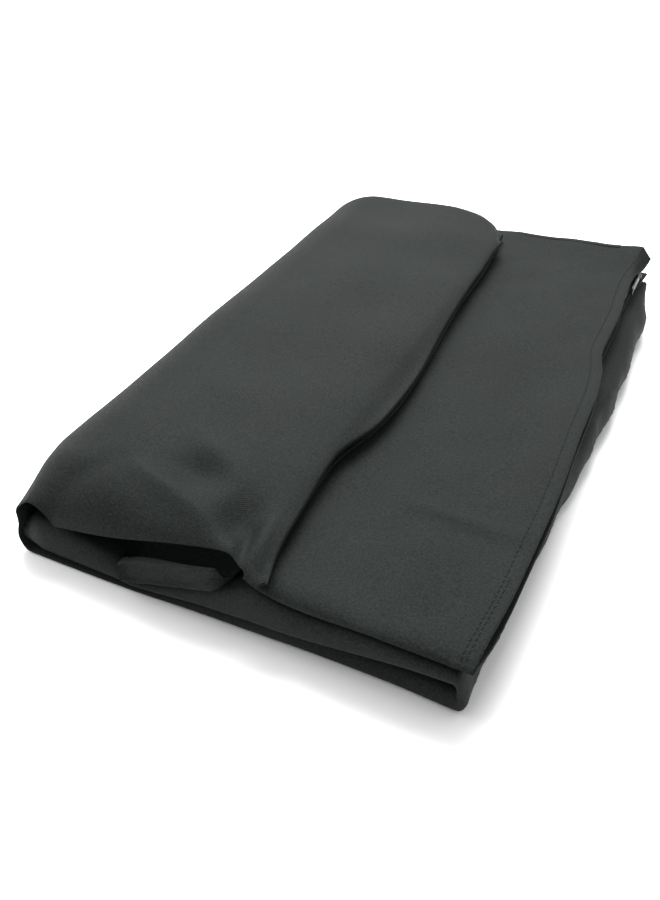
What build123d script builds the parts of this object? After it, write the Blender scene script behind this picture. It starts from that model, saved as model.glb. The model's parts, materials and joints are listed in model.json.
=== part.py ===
"""Film changing bag, folded for storage.

A light-tight bag inside an outer bag, each a front and a back panel sewn at the sides, with two
parallel zips along the hem and two double sleeves with elastics at the other end. It is folded in
half across its width, rolled into three plies, and its sleeve end lies over them as a flap.

Millimetres. Origin at the middle of the folded stack's underside, +X towards the hem, +Y along the
fold away from the centre crease, +Z up.
"""
import os

from build123d import *

# the bag as it is cut
BAG_WIDTH = 686.0             # 27 in
OUTER_WALL = 0.6              # outer twill
LINING_WALL = 0.5             # coated lining
BUNCHED_WALL = 1.6            # outer twill where it bunches in the turn on the right
TURNED_WALL = 1.9             # outer twill where it bunches in the turn on the left

# the folded stack
FOLD_AND_SEAM = 4.0           # how far the crease and the side seams stand out
STACK_LENGTH = BAG_WIDTH / 2 + FOLD_AND_SEAM
STACK_WIDTH = 215.0
STACK_HEIGHT = 46.0
CLEAR = 0.3                   # between pieces that move apart
Y_NEAR = -STACK_LENGTH / 2    # centre crease
Y_FAR = STACK_LENGTH / 2      # side seams
X_LEFT = -STACK_WIDTH / 2
X_RIGHT = STACK_WIDTH / 2
SEAM = 2.5                    # side seam allowance that stands out of the far edge

# plies, from the table up: lowest and highest point
BOTTOM_PLY = (0.0, 10.4)
MIDDLE_PLY = (10.7, 21.3)
TOP_PLY = (21.6, 33.4)
FLAP = (33.7, STACK_HEIGHT)

# the line that the top ply and the sleeve flap open about, where the cloth turns on the left
HINGE_X = X_LEFT
HINGE_Z = 23.2
TURN_DEPTH = 10.0             # how far in from that line the outer cloth starts to turn
OUTER_LEFT = HINGE_X + TURN_DEPTH + CLEAR
NESTED_LEFT = HINGE_X + 5.2   # where the two plies inside that turn end

# the bend that joins the bottom and middle plies on the right
BEND_RADIUS = (MIDDLE_PLY[1] - BOTTOM_PLY[0]) / 2
BEND_X = X_RIGHT - BEND_RADIUS
PLY_RIGHT = BEND_X - 0.1

# hem and zips
HEM_X = 99.5
OUTER_ZIP_X = HEM_X - 8.0     # the coil runs here, back under the hem
INNER_ZIP_X = HEM_X - 36.0
ZIP_ENDS = (-162.0, 161.0)    # where the coil begins and ends along Y
TAPE_ENDS = (-164.0, 166.0)
COIL_ROW = 1.8                # width of one coil row
COIL_THICK = 1.6
TAPE_WIDTH = 8.0
TAPE_THICK = 0.45
ROW_GAP = 0.05                # from the middle of the zip to a coil row
TAPE_GAP = 0.7                # from the middle of the zip to a tape
STOP_LENGTH = 2.0
SLIDER_LENGTH = 8.6
SLIDER_WIDTH = 5.7
SLIDER_WALL = 0.8
PULL_LENGTH = 22.0
PULL_WIDTH = 4.9
PULL_THICK = 0.8
PIN_RADIUS = 0.4
PIN_HOLE_RADIUS = 0.62
OUTER_ZIP_Z = 29.2            # middle of the outer coil, upper run
INNER_ZIP_Z = 29.2            # middle of the inner coil, upper run
SLIDER_Y = 158.0              # middle of a parked slider
STOP_Y = (SLIDER_Y + SLIDER_LENGTH / 2 + 0.2, SLIDER_Y + SLIDER_LENGTH / 2 + 0.2 + STOP_LENGTH)

# sleeves in the flap
FLAP_RIGHT = 18.0
SLEEVE_HALF = (FLAP[1] - FLAP[0] - 0.1) / 4
CUFF_WIDTH = 96.0             # gathered, lying flat
ELASTIC_WIDTH = 8.0
ELASTIC_WALL = 0.8


def block(x, y, z):
    """A box given by its lowest and highest x, y and z."""
    size = [b - a for a, b in (x, y, z)]
    middle = [(a + b) / 2 for a, b in (x, y, z)]
    return Pos(*middle) * Box(*size)


def rod_x(radius, x, y, z):
    """A cylinder along X from x[0] to x[1]."""
    return Pos((x[0] + x[1]) / 2, y, z) * Rot(0, 90, 0) * Cylinder(radius, x[1] - x[0])


def folded_slab(x, y, middle_z, half):
    """A slab round at its near end, where the bag is creased."""
    slab = block(x, (y[0] + half, y[1]), (middle_z - half, middle_z + half))
    return slab + rod_x(half, x, y[0] + half, middle_z)


def folded_sheet(x, y, middle_z, half, wall):
    """A sheet folded in two at its near end: two leaves and the bend between them."""
    inner = folded_slab(x, (y[0] + wall, y[1]), middle_z, half - wall)
    return folded_slab(x, y, middle_z, half) - inner


def flat_slab(x, y, middle_z, half):
    """A slab round along both its ends in Y."""
    slab = folded_slab(x, (y[0], y[1] - half), middle_z, half)
    return slab + rod_x(half, x, y[1] - half, middle_z)


def flat_tube(x, y, middle_z, half, wall):
    """A fabric tube along X, pressed flat and open at its ends."""
    inside = (y[0] + wall, y[1] - wall)
    return flat_slab(x, y, middle_z, half) - flat_slab(x, inside, middle_z, half - wall)


def ply_panels(name, span, y, left, right, lining_right, back_right, back_z):
    """The four nested panels of one ply, and the sewn side seams at its far end."""
    low, high = span
    middle = (low + high) / 2
    half = (high - low) / 2
    end = (y[0], y[1] - SEAM)
    inner_y = (y[0] + 1.5, end[1])
    back_half = 0.35 + OUTER_WALL
    lining_back_half = back_half + 0.15 + LINING_WALL
    lining_front_half = half - OUTER_WALL - 0.3
    back_y = (y[0] + half, end[1])
    inner_back_y = (back_y[0] - LINING_WALL - 0.15, end[1])
    seam_y = (end[1], y[1])
    seams = block((left, back_right), seam_y, (back_z + 0.2, high))
    seams += block((left, back_right), seam_y, (low, back_z - 0.2))
    return {
        f"{name}_outer_front": folded_sheet((left, right), end, middle, half, OUTER_WALL),
        f"{name}_inner_front": folded_sheet(
            (left, lining_right), inner_y, middle, lining_front_half, LINING_WALL
        ),
        f"{name}_inner_back": folded_sheet(
            (left, lining_right), inner_back_y, back_z, lining_back_half, LINING_WALL
        ),
        f"{name}_outer_back": folded_sheet((left, back_right), back_y, back_z, back_half, OUTER_WALL),
        f"{name}_side_seams": seams,
    }


def bent_shell(radius, wall):
    """Half of a tube along Y, open to the left, where two plies turn into each other."""
    y = (Y_NEAR + 6.0, Y_FAR - 6.0)
    centre = Pos(BEND_X, 0, BEND_RADIUS) * Rot(90, 0, 0)
    tube = centre * (Cylinder(radius, y[1] - y[0]) - Cylinder(radius - wall, y[1] - y[0]))
    return tube & block((BEND_X, X_RIGHT), y, (0, 2 * BEND_RADIUS))


def left_turn(right, across, middle_z, up, wall, z, y):
    """Part of an oval tube along Y, from its leftmost line to x = right, between two heights."""
    outline = Ellipse(across, up) - Ellipse(across - wall, up - wall)
    tube = extrude(Plane.XZ * outline, amount=(y[1] - y[0]) / 2, both=True)
    tube = Pos(right, (y[0] + y[1]) / 2, middle_z) * tube
    return tube & block((right - across, right), y, z)


def outer_zip():
    """The outer zip. Its upper run stands on edge behind the hem, its lower run lies flat."""
    x, z = OUTER_ZIP_X, OUTER_ZIP_Z
    ply_top = TOP_PLY[1] - OUTER_WALL
    coil_x = (x - COIL_THICK / 2, x + COIL_THICK / 2)
    tape_x = (coil_x[0] - TAPE_THICK, coil_x[0])
    turned_x = (x - TAPE_WIDTH - 1.0, coil_x[0])
    front_turn = (ply_top - 0.1 - TAPE_THICK, ply_top - 0.1)
    back_turn = (z - 3.1 - TAPE_THICK, z - 3.1)
    front_tape = block(tape_x, TAPE_ENDS, (z + TAPE_GAP, front_turn[1]))
    front_tape += block(turned_x, TAPE_ENDS, front_turn)
    back_tape = block(tape_x, TAPE_ENDS, (back_turn[0], z - TAPE_GAP))
    back_tape += block(turned_x, TAPE_ENDS, back_turn)
    front_coil = block(coil_x, ZIP_ENDS, (z + ROW_GAP, z + COIL_ROW))
    back_coil = block(coil_x, ZIP_ENDS, (z - COIL_ROW, z - ROW_GAP))

    lower_x = x - 6.2
    lower_z = TOP_PLY[0] + OUTER_WALL + 0.2
    lower_coil_z = (lower_z, lower_z + COIL_THICK)
    lower_tape_z = (lower_coil_z[1], lower_coil_z[1] + TAPE_THICK)
    front_x = (lower_x + ROW_GAP, lower_x + COIL_ROW)
    back_x = (lower_x - COIL_ROW, lower_x - ROW_GAP)
    stop = block(coil_x, STOP_Y, (z - COIL_ROW, z + COIL_ROW))
    lower_stop = block((back_x[0], front_x[1]), STOP_Y, lower_coil_z)
    return {
        "outer_zip_front_tape": front_tape
        + block((lower_x + TAPE_GAP, lower_x + TAPE_WIDTH), TAPE_ENDS, lower_tape_z),
        "outer_zip_back_tape": back_tape
        + block((lower_x - TAPE_WIDTH, lower_x - TAPE_GAP), TAPE_ENDS, lower_tape_z),
        "outer_zip_front_coil": front_coil + block(front_x, ZIP_ENDS, lower_coil_z),
        "outer_zip_back_coil": back_coil + block(back_x, ZIP_ENDS, lower_coil_z),
        "outer_zip_stops": stop + lower_stop,
    }


def inner_zip():
    """The inner zip, flat between the outer bag's panels, upper run over lower run."""
    x = INNER_ZIP_X
    lower = TOP_PLY[0] + OUTER_WALL + 0.2
    upper = INNER_ZIP_Z - COIL_THICK / 2
    pieces = {}
    for side, name in ((1, "front"), (-1, "back")):
        row_x = sorted((x + side * ROW_GAP, x + side * COIL_ROW))
        tape_x = sorted((x + side * TAPE_GAP, x + side * (COIL_ROW + TAPE_WIDTH)))
        pieces[f"inner_zip_{name}_coil"] = block(row_x, ZIP_ENDS, (upper, upper + COIL_THICK)) + block(
            row_x, ZIP_ENDS, (lower, lower + COIL_THICK)
        )
        pieces[f"inner_zip_{name}_tape"] = block(
            tape_x, TAPE_ENDS, (upper - TAPE_THICK, upper)
        ) + block(tape_x, TAPE_ENDS, (lower + COIL_THICK, lower + COIL_THICK + TAPE_THICK))
    stop_x = (x - COIL_ROW, x + COIL_ROW)
    pieces["inner_zip_stops"] = block(stop_x, STOP_Y, (upper, upper + COIL_THICK)) + block(
        stop_x, STOP_Y, (lower, lower + COIL_THICK)
    )
    return pieces


def slider_and_pull():
    """A zip slider and its pull, the coil along Y at z = 0, the pull on top and laid back to -Y."""
    length = (-SLIDER_LENGTH / 2, SLIDER_LENGTH / 2)
    half = SLIDER_WIDTH / 2
    top = (COIL_THICK / 2 + 0.15, COIL_THICK / 2 + 0.15 + SLIDER_WALL)
    bottom_top = -COIL_THICK / 2 - TAPE_THICK - 0.15
    plates = block((-half, half), length, top)
    plates += block((-half, half), length, (bottom_top - SLIDER_WALL, bottom_top))
    plates = fillet(plates.edges().filter_by(Axis.Z), 1.4)
    for side in (-1, 1):
        lip_x = sorted((side * half, side * (half - 0.6)))
        plates += block(lip_x, (-2.6, 2.6), (-COIL_THICK / 2 + 0.2, top[1]))
    post_y = (ZIP_ENDS[1] - SLIDER_Y + 0.2, length[1])
    plates += block((-0.6, 0.6), post_y, (bottom_top, top[0]))
    axis_z = top[1] + 0.7
    bridge = block((-0.8, 0.8), (-2.0, 2.0), (top[1], axis_z + 0.95))
    bridge -= Pos(0, 0, axis_z) * Rot(0, 90, 0) * Cylinder(PIN_HOLE_RADIUS, 2.0)
    slider = plates + bridge

    z = (axis_z - PULL_THICK / 2, axis_z + PULL_THICK / 2)
    width = (-PULL_WIDTH / 2, PULL_WIDTH / 2)
    tab = block(width, (-PULL_LENGTH, 0), z)
    tab = fillet(tab.edges().filter_by(Axis.Z).group_by(Axis.Y)[0], 1.6)
    tab -= block((-1.05, 1.05), (-2.8, 1.0), (z[0] - 1, z[1] + 1))
    tab -= Pos(0, 2.4 - PULL_LENGTH, axis_z) * Cylinder(0.9, 2.0)
    tab += Pos(0, 0, axis_z) * Rot(0, 90, 0) * Cylinder(PIN_RADIUS, PULL_WIDTH)
    return slider, tab


def sleeve(side, middle_z, y):
    """One double sleeve laid flat in the flap, its gathered cuff turned back inside it."""
    x = (OUTER_LEFT, FLAP_RIGHT)
    lining_half = SLEEVE_HALF - OUTER_WALL - 0.1
    cuff_half = lining_half - LINING_WALL - 0.1
    elastic_half = cuff_half - LINING_WALL - 0.05
    lining_y = (y[0] + 3.0, y[1] - 3.0)
    cuff_y = (-CUFF_WIDTH / 2, CUFF_WIDTH / 2)
    elastic_y = (cuff_y[0] + 1.5, cuff_y[1] - 1.5)
    cuff_x = (FLAP_RIGHT - 68.0, FLAP_RIGHT - 7.0)
    wrist_x = (cuff_x[0] + 1.0, cuff_x[0] + 1.0 + ELASTIC_WIDTH)
    forearm_x = (cuff_x[1] - 12.0, cuff_x[1] - 12.0 + ELASTIC_WIDTH)
    lining_x = (x[0], x[1] - 1.5)
    return {
        f"{side}_sleeve_outer": flat_tube(x, y, middle_z, SLEEVE_HALF, OUTER_WALL),
        f"{side}_sleeve_lining": flat_tube(lining_x, lining_y, middle_z, lining_half, LINING_WALL),
        f"{side}_cuff": flat_tube(cuff_x, cuff_y, middle_z, cuff_half, LINING_WALL),
        f"{side}_wrist_elastic": flat_tube(wrist_x, elastic_y, middle_z, elastic_half, ELASTIC_WALL),
        f"{side}_forearm_elastic": flat_tube(forearm_x, elastic_y, middle_z, elastic_half, ELASTIC_WALL),
    }


def base_plies():
    """The bottom and middle plies, and the bend that joins them on the right."""
    parts = {}
    for name, span, near, left in (
        ("bottom_ply", BOTTOM_PLY, 1.0, OUTER_LEFT),
        ("middle_ply", MIDDLE_PLY, 0.0, NESTED_LEFT),
    ):
        y = (Y_NEAR + near, Y_FAR - 4.0)
        back_z = (span[0] + span[1]) / 2
        parts |= ply_panels(name, span, y, left, PLY_RIGHT, PLY_RIGHT, PLY_RIGHT, back_z)
    parts["right_fold_outer"] = bent_shell(BEND_RADIUS, BUNCHED_WALL)
    parts["right_fold_lining"] = bent_shell(BEND_RADIUS - 1.9, LINING_WALL)
    parts["right_fold_inner_layers"] = bent_shell(BEND_RADIUS - 2.8, BEND_RADIUS - 4.2)
    return parts


def left_folds():
    """The cloth that turns round the left edge: outside, from the bottom ply up to the flap, and
    nested in that, from the middle ply to the top ply."""
    y = (Y_NEAR + 2.0, Y_FAR - 8.0)
    outer = (HINGE_X + TURN_DEPTH, TURN_DEPTH)
    below = (HINGE_Z - 0.1, HINGE_Z - 0.1)
    above = (HINGE_Z + 0.1, STACK_HEIGHT - HINGE_Z - 0.1)
    nested_right = NESTED_LEFT - CLEAR
    nested = (nested_right, nested_right - HINGE_X - TURNED_WALL - CLEAR)
    between = ((MIDDLE_PLY[1] + TOP_PLY[0]) / 2, 5.0)
    nested_z = (between[0] - between[1], between[0] + between[1])
    return {
        "left_fold_lower": left_turn(*outer, *below, TURNED_WALL, (0, below[0]), y),
        "left_fold_upper": left_turn(*outer, *above, TURNED_WALL, (above[0], STACK_HEIGHT), y),
        "left_fold_nested": left_turn(*nested, *between, LINING_WALL, nested_z, y),
    }


def top_ply():
    """The hem end of the bag, with both zips."""
    y = (Y_NEAR + 2.0, Y_FAR)
    lining_right = INNER_ZIP_X - COIL_ROW - TAPE_WIDTH - 0.5
    back_right = INNER_ZIP_X + 17.0
    back_z = TOP_PLY[0] + 4.2
    parts = ply_panels("top_ply", TOP_PLY, y, NESTED_LEFT, HEM_X, lining_right, back_right, back_z)
    return parts | outer_zip() | inner_zip()


def sliders():
    """The parked slider and pull of each zip."""
    slider, tab = slider_and_pull()
    on_edge = Pos(OUTER_ZIP_X, SLIDER_Y, OUTER_ZIP_Z) * Rot(0, 90, 0)
    flat = Pos(INNER_ZIP_X, SLIDER_Y, INNER_ZIP_Z)
    return {
        "outer_zip_slider_body": on_edge * slider,
        "outer_zip_pull_tab": on_edge * tab,
        "inner_zip_slider_body": flat * slider,
        "inner_zip_pull_tab": flat * tab,
    }


def sleeve_flap():
    """The sleeve end, folded over the plies: the left sleeve on the right one."""
    low = FLAP[0] + SLEEVE_HALF
    high = FLAP[1] - SLEEVE_HALF
    y = (Y_NEAR + 1.5, Y_FAR - 8.0)
    return sleeve("right", low, (y[0] + 1.5, y[1] - 2.0)) | sleeve("left", high, y)


parts = base_plies() | left_folds() | top_ply() | sliders() | sleeve_flap()
os.makedirs("parts", exist_ok=True)
for name, shape in parts.items():
    export_step(shape, f"parts/{name}.step")
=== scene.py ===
"""A film changing bag in black twill, folded for storage: its cloth, seams, zips and sleeves.

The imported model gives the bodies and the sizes. Lengths here are millimetres in the model's frame
until a mesh is made: +X towards the zipped hem, +Y away from the centre crease, +Z up.
"""
import json
import math

import bpy
import numpy as np
from mathutils import Matrix, Vector


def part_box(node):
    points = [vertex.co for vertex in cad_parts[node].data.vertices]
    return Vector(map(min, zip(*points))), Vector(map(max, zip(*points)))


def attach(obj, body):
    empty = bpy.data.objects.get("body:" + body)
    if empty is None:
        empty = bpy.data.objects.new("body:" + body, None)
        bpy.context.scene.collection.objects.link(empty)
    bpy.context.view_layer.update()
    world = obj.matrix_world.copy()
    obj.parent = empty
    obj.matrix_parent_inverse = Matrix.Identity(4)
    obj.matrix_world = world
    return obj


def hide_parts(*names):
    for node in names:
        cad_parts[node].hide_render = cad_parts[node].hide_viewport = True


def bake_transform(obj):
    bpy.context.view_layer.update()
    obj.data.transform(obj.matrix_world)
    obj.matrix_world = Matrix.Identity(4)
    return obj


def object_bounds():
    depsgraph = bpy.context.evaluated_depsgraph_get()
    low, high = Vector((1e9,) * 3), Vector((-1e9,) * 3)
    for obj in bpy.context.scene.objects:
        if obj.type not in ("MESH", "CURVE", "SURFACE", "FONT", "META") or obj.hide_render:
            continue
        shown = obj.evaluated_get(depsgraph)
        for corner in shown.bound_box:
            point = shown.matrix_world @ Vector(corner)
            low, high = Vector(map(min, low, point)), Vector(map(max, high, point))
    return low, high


MM = 0.001
SEED = 7
TWILL = 0.6                   # thickness of the outer cloth
LINING = 0.45                 # thickness of the coated lining

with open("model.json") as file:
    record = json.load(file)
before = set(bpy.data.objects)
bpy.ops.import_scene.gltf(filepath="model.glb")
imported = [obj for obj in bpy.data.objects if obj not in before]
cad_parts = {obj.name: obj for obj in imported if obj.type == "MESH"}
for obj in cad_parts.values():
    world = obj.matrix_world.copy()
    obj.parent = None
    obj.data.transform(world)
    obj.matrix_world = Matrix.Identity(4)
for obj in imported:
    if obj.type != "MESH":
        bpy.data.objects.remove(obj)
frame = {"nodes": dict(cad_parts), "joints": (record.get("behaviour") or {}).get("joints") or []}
cad_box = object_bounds()


def span(node, axis):
    """Lowest and highest value of a CAD node along an axis, in millimetres."""
    low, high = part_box(node)
    return low[axis] / MM, high[axis] / MM


X_LEFT = cad_box[0].x / MM
Y_NEAR, Y_FAR = cad_box[0].y / MM, cad_box[1].y / MM
BOTTOM_TOP = span("bottom_ply_outer_front", 2)[1]
MIDDLE_LOW, MIDDLE_TOP = span("middle_ply_outer_front", 2)
TOP_LOW, TOP_TOP = span("top_ply_outer_front", 2)
NESTED_LEFT = span("middle_ply_outer_front", 0)[0]
HEM_X = span("top_ply_outer_front", 0)[1]
BEND_X, BEND_RIGHT = span("right_fold_outer", 0)
TURN_RIGHT = span("left_fold_lower", 0)[1]
HINGE_Z = next(j for j in frame["joints"] if j["name"] == "top_ply_fold")["pos_m"][2] / MM
FLAP_RIGHT = span("left_sleeve_outer", 0)[1]
FLAP_LOW = span("right_sleeve_outer", 2)[0]
SLEEVE_MIDDLE = span("left_sleeve_outer", 2)[0]
FLAP_TOP = span("left_sleeve_outer", 2)[1]
ARC = 7                       # points round each crease


# --- shapes -------------------------------------------------------------------------------------

def smooth(points):
    """A smooth curve through (place, value) points that never overshoots, level beyond its ends."""
    at, value = np.array(points, float).T
    rise = np.diff(value) / np.diff(at)
    slope = np.gradient(value, at)
    limit = np.where(rise[:-1] * rise[1:] > 0, 3 * np.minimum(abs(rise[:-1]), abs(rise[1:])), 0)
    slope[1:-1] = np.clip(slope[1:-1], -limit, limit)
    slope[0] = slope[-1] = 0

    def curve(x):
        x = np.clip(x, at[0], at[-1])
        i = np.clip(np.searchsorted(at, x, side="right") - 1, 0, len(at) - 2)
        gap = at[i + 1] - at[i]
        t = (x - at[i]) / gap
        return (
            value[i] * (1 + 2 * t) * (1 - t) ** 2
            + value[i + 1] * t * t * (3 - 2 * t)
            + gap * slope[i] * t * (1 - t) ** 2
            + gap * slope[i + 1] * t * t * (t - 1)
        )

    return curve


def step(value, low, high):
    """0 below low, 1 above high, and a smooth rise between them."""
    t = np.clip((value - low) / (high - low), 0, 1)
    return t * t * (3 - 2 * t)


def fold_line(x, y, start, end, width, height):
    """A soft ridge, or a valley if height is below 0, that fades out towards both its ends."""
    run = np.array(end, float) - np.array(start, float)
    length = np.hypot(*run)
    t = ((x - start[0]) * run[0] + (y - start[1]) * run[1]) / length**2
    off = ((x - start[0]) * run[1] - (y - start[1]) * run[0]) / length
    fade = np.sin(np.pi * np.clip(t, 0, 1)) ** 0.8
    return height * np.exp(-((off / width) ** 2)) * fade


def dent(x, y, middle, size, depth):
    """A round hollow, or a rise if depth is below 0."""
    off = ((x - middle[0]) / size[0]) ** 2 + ((y - middle[1]) / size[1]) ** 2
    return -depth * np.exp(-off)


def ripples(x, y, seed, wave, height, along=None):
    """Uneven waves in the cloth: a sum of sines in seeded directions."""
    draw = np.random.default_rng(SEED * 1000 + seed)
    total = np.zeros(np.broadcast(x, y).shape)
    for _ in range(7):
        turn = draw.uniform(0, math.pi) if along is None else along + draw.normal(0, 0.35)
        number = 2 * math.pi / (wave * draw.uniform(0.6, 1.6))
        total += np.sin((x * math.cos(turn) + y * math.sin(turn)) * number + draw.uniform(0, 6.3))
    return total * height / 2.6


def points_at(x, y, z):
    return np.stack(np.broadcast_arrays(x, y, z), axis=-1)


def corner(radius, boxy, count):
    """How far in, and how far open, a fold is at points round its end; boxy 2 is an ellipse."""
    open_share = 1 - (1 - np.linspace(0, 1, count)) ** 2
    return radius * (1 - (1 - open_share**boxy) ** (1 / boxy)), open_share


def wrapped(
    s, faces, near, far, round_near, round_far=None, bias=0.5, inset=0.0, boxy=2.0, pitch=4.0, arc=ARC
):
    """A sheet that runs in on face a, turns at the near crease and runs out on face b.

    s holds the stations along the cloth. faces(s, y) gives both faces there. With round_far the
    sheet turns at the far end too and so closes into a tube. inset moves it inside the faces.
    bias sets how far the crease lies from face a towards face b.
    """
    s = np.asarray(s, float)[:, None]
    near = near(s) + inset * 0.9
    far = far(s) - (inset * 0.9 if round_far else 0)
    inward, closed = corner(round_near, boxy, arc)
    count = max(6, int((far.mean() - near.mean()) / pitch))
    even = np.linspace(0, 1, count)[1:-1]
    end = round_far or 0
    run = near + round_near + even * (far - end - near - round_near)
    y = np.concatenate([near + inward, run], axis=1)
    openness = np.concatenate([closed, np.ones(len(even))])
    if round_far:
        back, closed = corner(round_far, 2.0, arc)
        y = np.concatenate([y, far - back[::-1]], axis=1)
        openness = np.concatenate([openness, closed[::-1]])
    else:
        y = np.concatenate([y, far], axis=1)
        openness = np.append(openness, 1.0)
    a, b = faces(np.broadcast_to(s, y.shape), y)
    gap = np.linalg.norm(b - a, axis=-1, keepdims=True)
    share = np.clip(inset / np.maximum(gap, 1e-6), 0, 0.47)
    a, b = a + (b - a) * share, b + (a - b) * share
    middle = a + (b - a) * bias
    o = openness[None, :, None]
    upper = middle + (a - middle) * o
    lower = middle + (b - middle) * o
    last = -1 if round_far else None
    return np.concatenate([upper[:, ::-1], lower[:, 1:last]], axis=1)


def cloth_lengths(grid):
    """Two coordinates of every grid point, measured along the cloth."""
    def along(points):
        gaps = np.linalg.norm(np.diff(points, axis=0), axis=-1)
        return np.concatenate([np.zeros((1, points.shape[1])), np.cumsum(gaps, axis=0)])

    return np.stack([along(grid), along(grid.transpose(1, 0, 2)).T], axis=-1)


def grid_normals(grid, cyclic):
    """Unit normals of a grid of points."""
    if cyclic:
        across = np.roll(grid, -1, axis=1) - np.roll(grid, 1, axis=1)
    else:
        across = np.gradient(grid, axis=1)
    normal = np.cross(np.gradient(grid, axis=0), across)
    return normal / np.maximum(np.linalg.norm(normal, axis=-1, keepdims=True), 1e-9)


def mesh_object(name, vertices, faces, coordinates=None, material=None):
    """An object from millimetre points, smooth shaded, with its cloth coordinates."""
    mesh = bpy.data.meshes.new(name)
    mesh.from_pydata((np.asarray(vertices) * MM).tolist(), [], faces)
    mesh.validate()
    mesh.shade_smooth()
    mesh.set_sharp_from_angle(angle=math.radians(55))
    if coordinates is not None:
        layer = mesh.attributes.new("cloth", "FLOAT_VECTOR", "POINT")
        padded = np.pad(coordinates * MM, ((0, 0), (0, 1)))
        layer.data.foreach_set("vector", padded.astype(np.float32).ravel())
    obj = bpy.data.objects.new(name, mesh)
    bpy.context.scene.collection.objects.link(obj)
    if material:
        mesh.materials.append(material)
    return obj


def cloth_mesh(name, grid, thick, material, cyclic=False, inward=-1):
    """A sheet of real thickness from a grid: its outer face is the grid, its inner one is offset."""
    rows, columns = grid.shape[:2]
    inner = grid + inward * thick * grid_normals(grid, cyclic)
    count = rows * columns
    vertices = np.concatenate([grid.reshape(-1, 3), inner.reshape(-1, 3)])
    lengths = cloth_lengths(grid).reshape(-1, 2)
    index = np.arange(count).reshape(rows, columns)
    if cyclic:
        index = np.concatenate([index, index[:, :1]], axis=1)
    a, b, c, d = index[:-1, :-1], index[:-1, 1:], index[1:, 1:], index[1:, :-1]
    skin = np.stack([a, d, c, b], axis=-1).reshape(-1, 4)
    if inward > 0:
        skin = skin[:, ::-1]
    faces = [skin, skin[:, ::-1] + count]
    rims = [index[0], index[-1][::-1]]
    if not cyclic:
        rims += [index[:, 0][::-1], index[:, -1]]
    for rim in rims:
        strip = np.stack([rim[:-1], rim[1:], rim[1:] + count, rim[:-1] + count], axis=-1)
        faces.append(strip if inward < 0 else strip[:, ::-1])
    return mesh_object(
        name, vertices, np.concatenate(faces).tolist(), np.concatenate([lengths, lengths]), material
    )


def joined(name, shapes, material):
    """One object from many (vertices, faces) shapes."""
    vertices, faces, count = [], [], 0
    for v, f in shapes:
        vertices.append(np.asarray(v, float))
        faces += (np.asarray(f) + count).tolist()
        count += len(v)
    return mesh_object(name, np.concatenate(vertices), faces, material=material)


def bead(middle, along, across, up, sides=6, rings=4):
    """A small rounded bar: half-lengths are the lengths of its three direction vectors."""
    theta = np.linspace(0, math.pi, rings + 1)[1:-1]
    phi = np.linspace(0, 2 * math.pi, sides, endpoint=False)
    ring = np.cos(phi)[:, None] * np.array(across) + np.sin(phi)[:, None] * np.array(up)
    body = [np.array(along) * math.cos(t) + ring * math.sin(t) ** 0.6 for t in theta]
    vertices = np.concatenate([[np.array(along)], *body, [-np.array(along)]]) + np.array(middle)
    last = 1 + sides * len(theta)
    faces = []
    for i in range(sides):
        j = (i + 1) % sides
        faces.append([0, 1 + i, 1 + j, 1 + j])
        for r in range(len(theta) - 1):
            k = 1 + r * sides
            faces.append([k + i, k + sides + i, k + sides + j, k + j])
        k = last - sides
        faces.append([k + i, last, last, k + j])
    return vertices, faces


# --- materials ----------------------------------------------------------------------------------

def new_material(name):
    """A material with its shader, and the nodes and links to build on."""
    material = bpy.data.materials.new(name)
    material.use_nodes = True
    return material, material.node_tree.nodes, material.node_tree.links


def mix_colours(nodes, links, factor, dark, light):
    """A colour between two, by a node's output."""
    ramp = nodes.new("ShaderNodeValToRGB")
    ramp.color_ramp.elements[0].position = 0.33
    ramp.color_ramp.elements[1].position = 0.67
    ramp.color_ramp.elements[0].color = (*dark, 1)
    ramp.color_ramp.elements[1].color = (*light, 1)
    links.new(factor, ramp.inputs["Fac"])
    return ramp.outputs["Color"]


def noise(nodes, links, vector, scale, detail=3.0):
    node = nodes.new("ShaderNodeTexNoise")
    node.inputs["Scale"].default_value = scale
    node.inputs["Detail"].default_value = detail
    links.new(vector, node.inputs["Vector"])
    return node.outputs["Fac"]


def vary_roughness(nodes, links, factor, rough, spread):
    """Roughness that follows a node's output, within a spread either side of its middle value."""
    rough_map = nodes.new("ShaderNodeMapRange")
    rough_map.inputs["To Min"].default_value = rough - spread
    rough_map.inputs["To Max"].default_value = rough + spread
    links.new(factor, rough_map.inputs["Value"])
    links.new(rough_map.outputs["Result"], nodes["Principled BSDF"].inputs["Roughness"])


def add_relief(nodes, links, height, strength, distance):
    """Fine bumps that follow a node's output."""
    relief = nodes.new("ShaderNodeBump")
    relief.inputs["Strength"].default_value = strength
    relief.inputs["Distance"].default_value = distance
    links.new(height, relief.inputs["Height"])
    links.new(relief.outputs["Normal"], nodes["Principled BSDF"].inputs["Normal"])


SPECK_SCALE = 1150.0          # fine specks
PATCH_SCALE = 22.0            # slow changes of tone
PATCH_SHARE = 0.4             # of the colour; the rest is specks
WEAVE_PER_SCALE = 6.3         # weave for each unit of the wave texture's scale
CLOTH_TINT = (0.9, 1.0, 0.96, 1)


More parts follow.
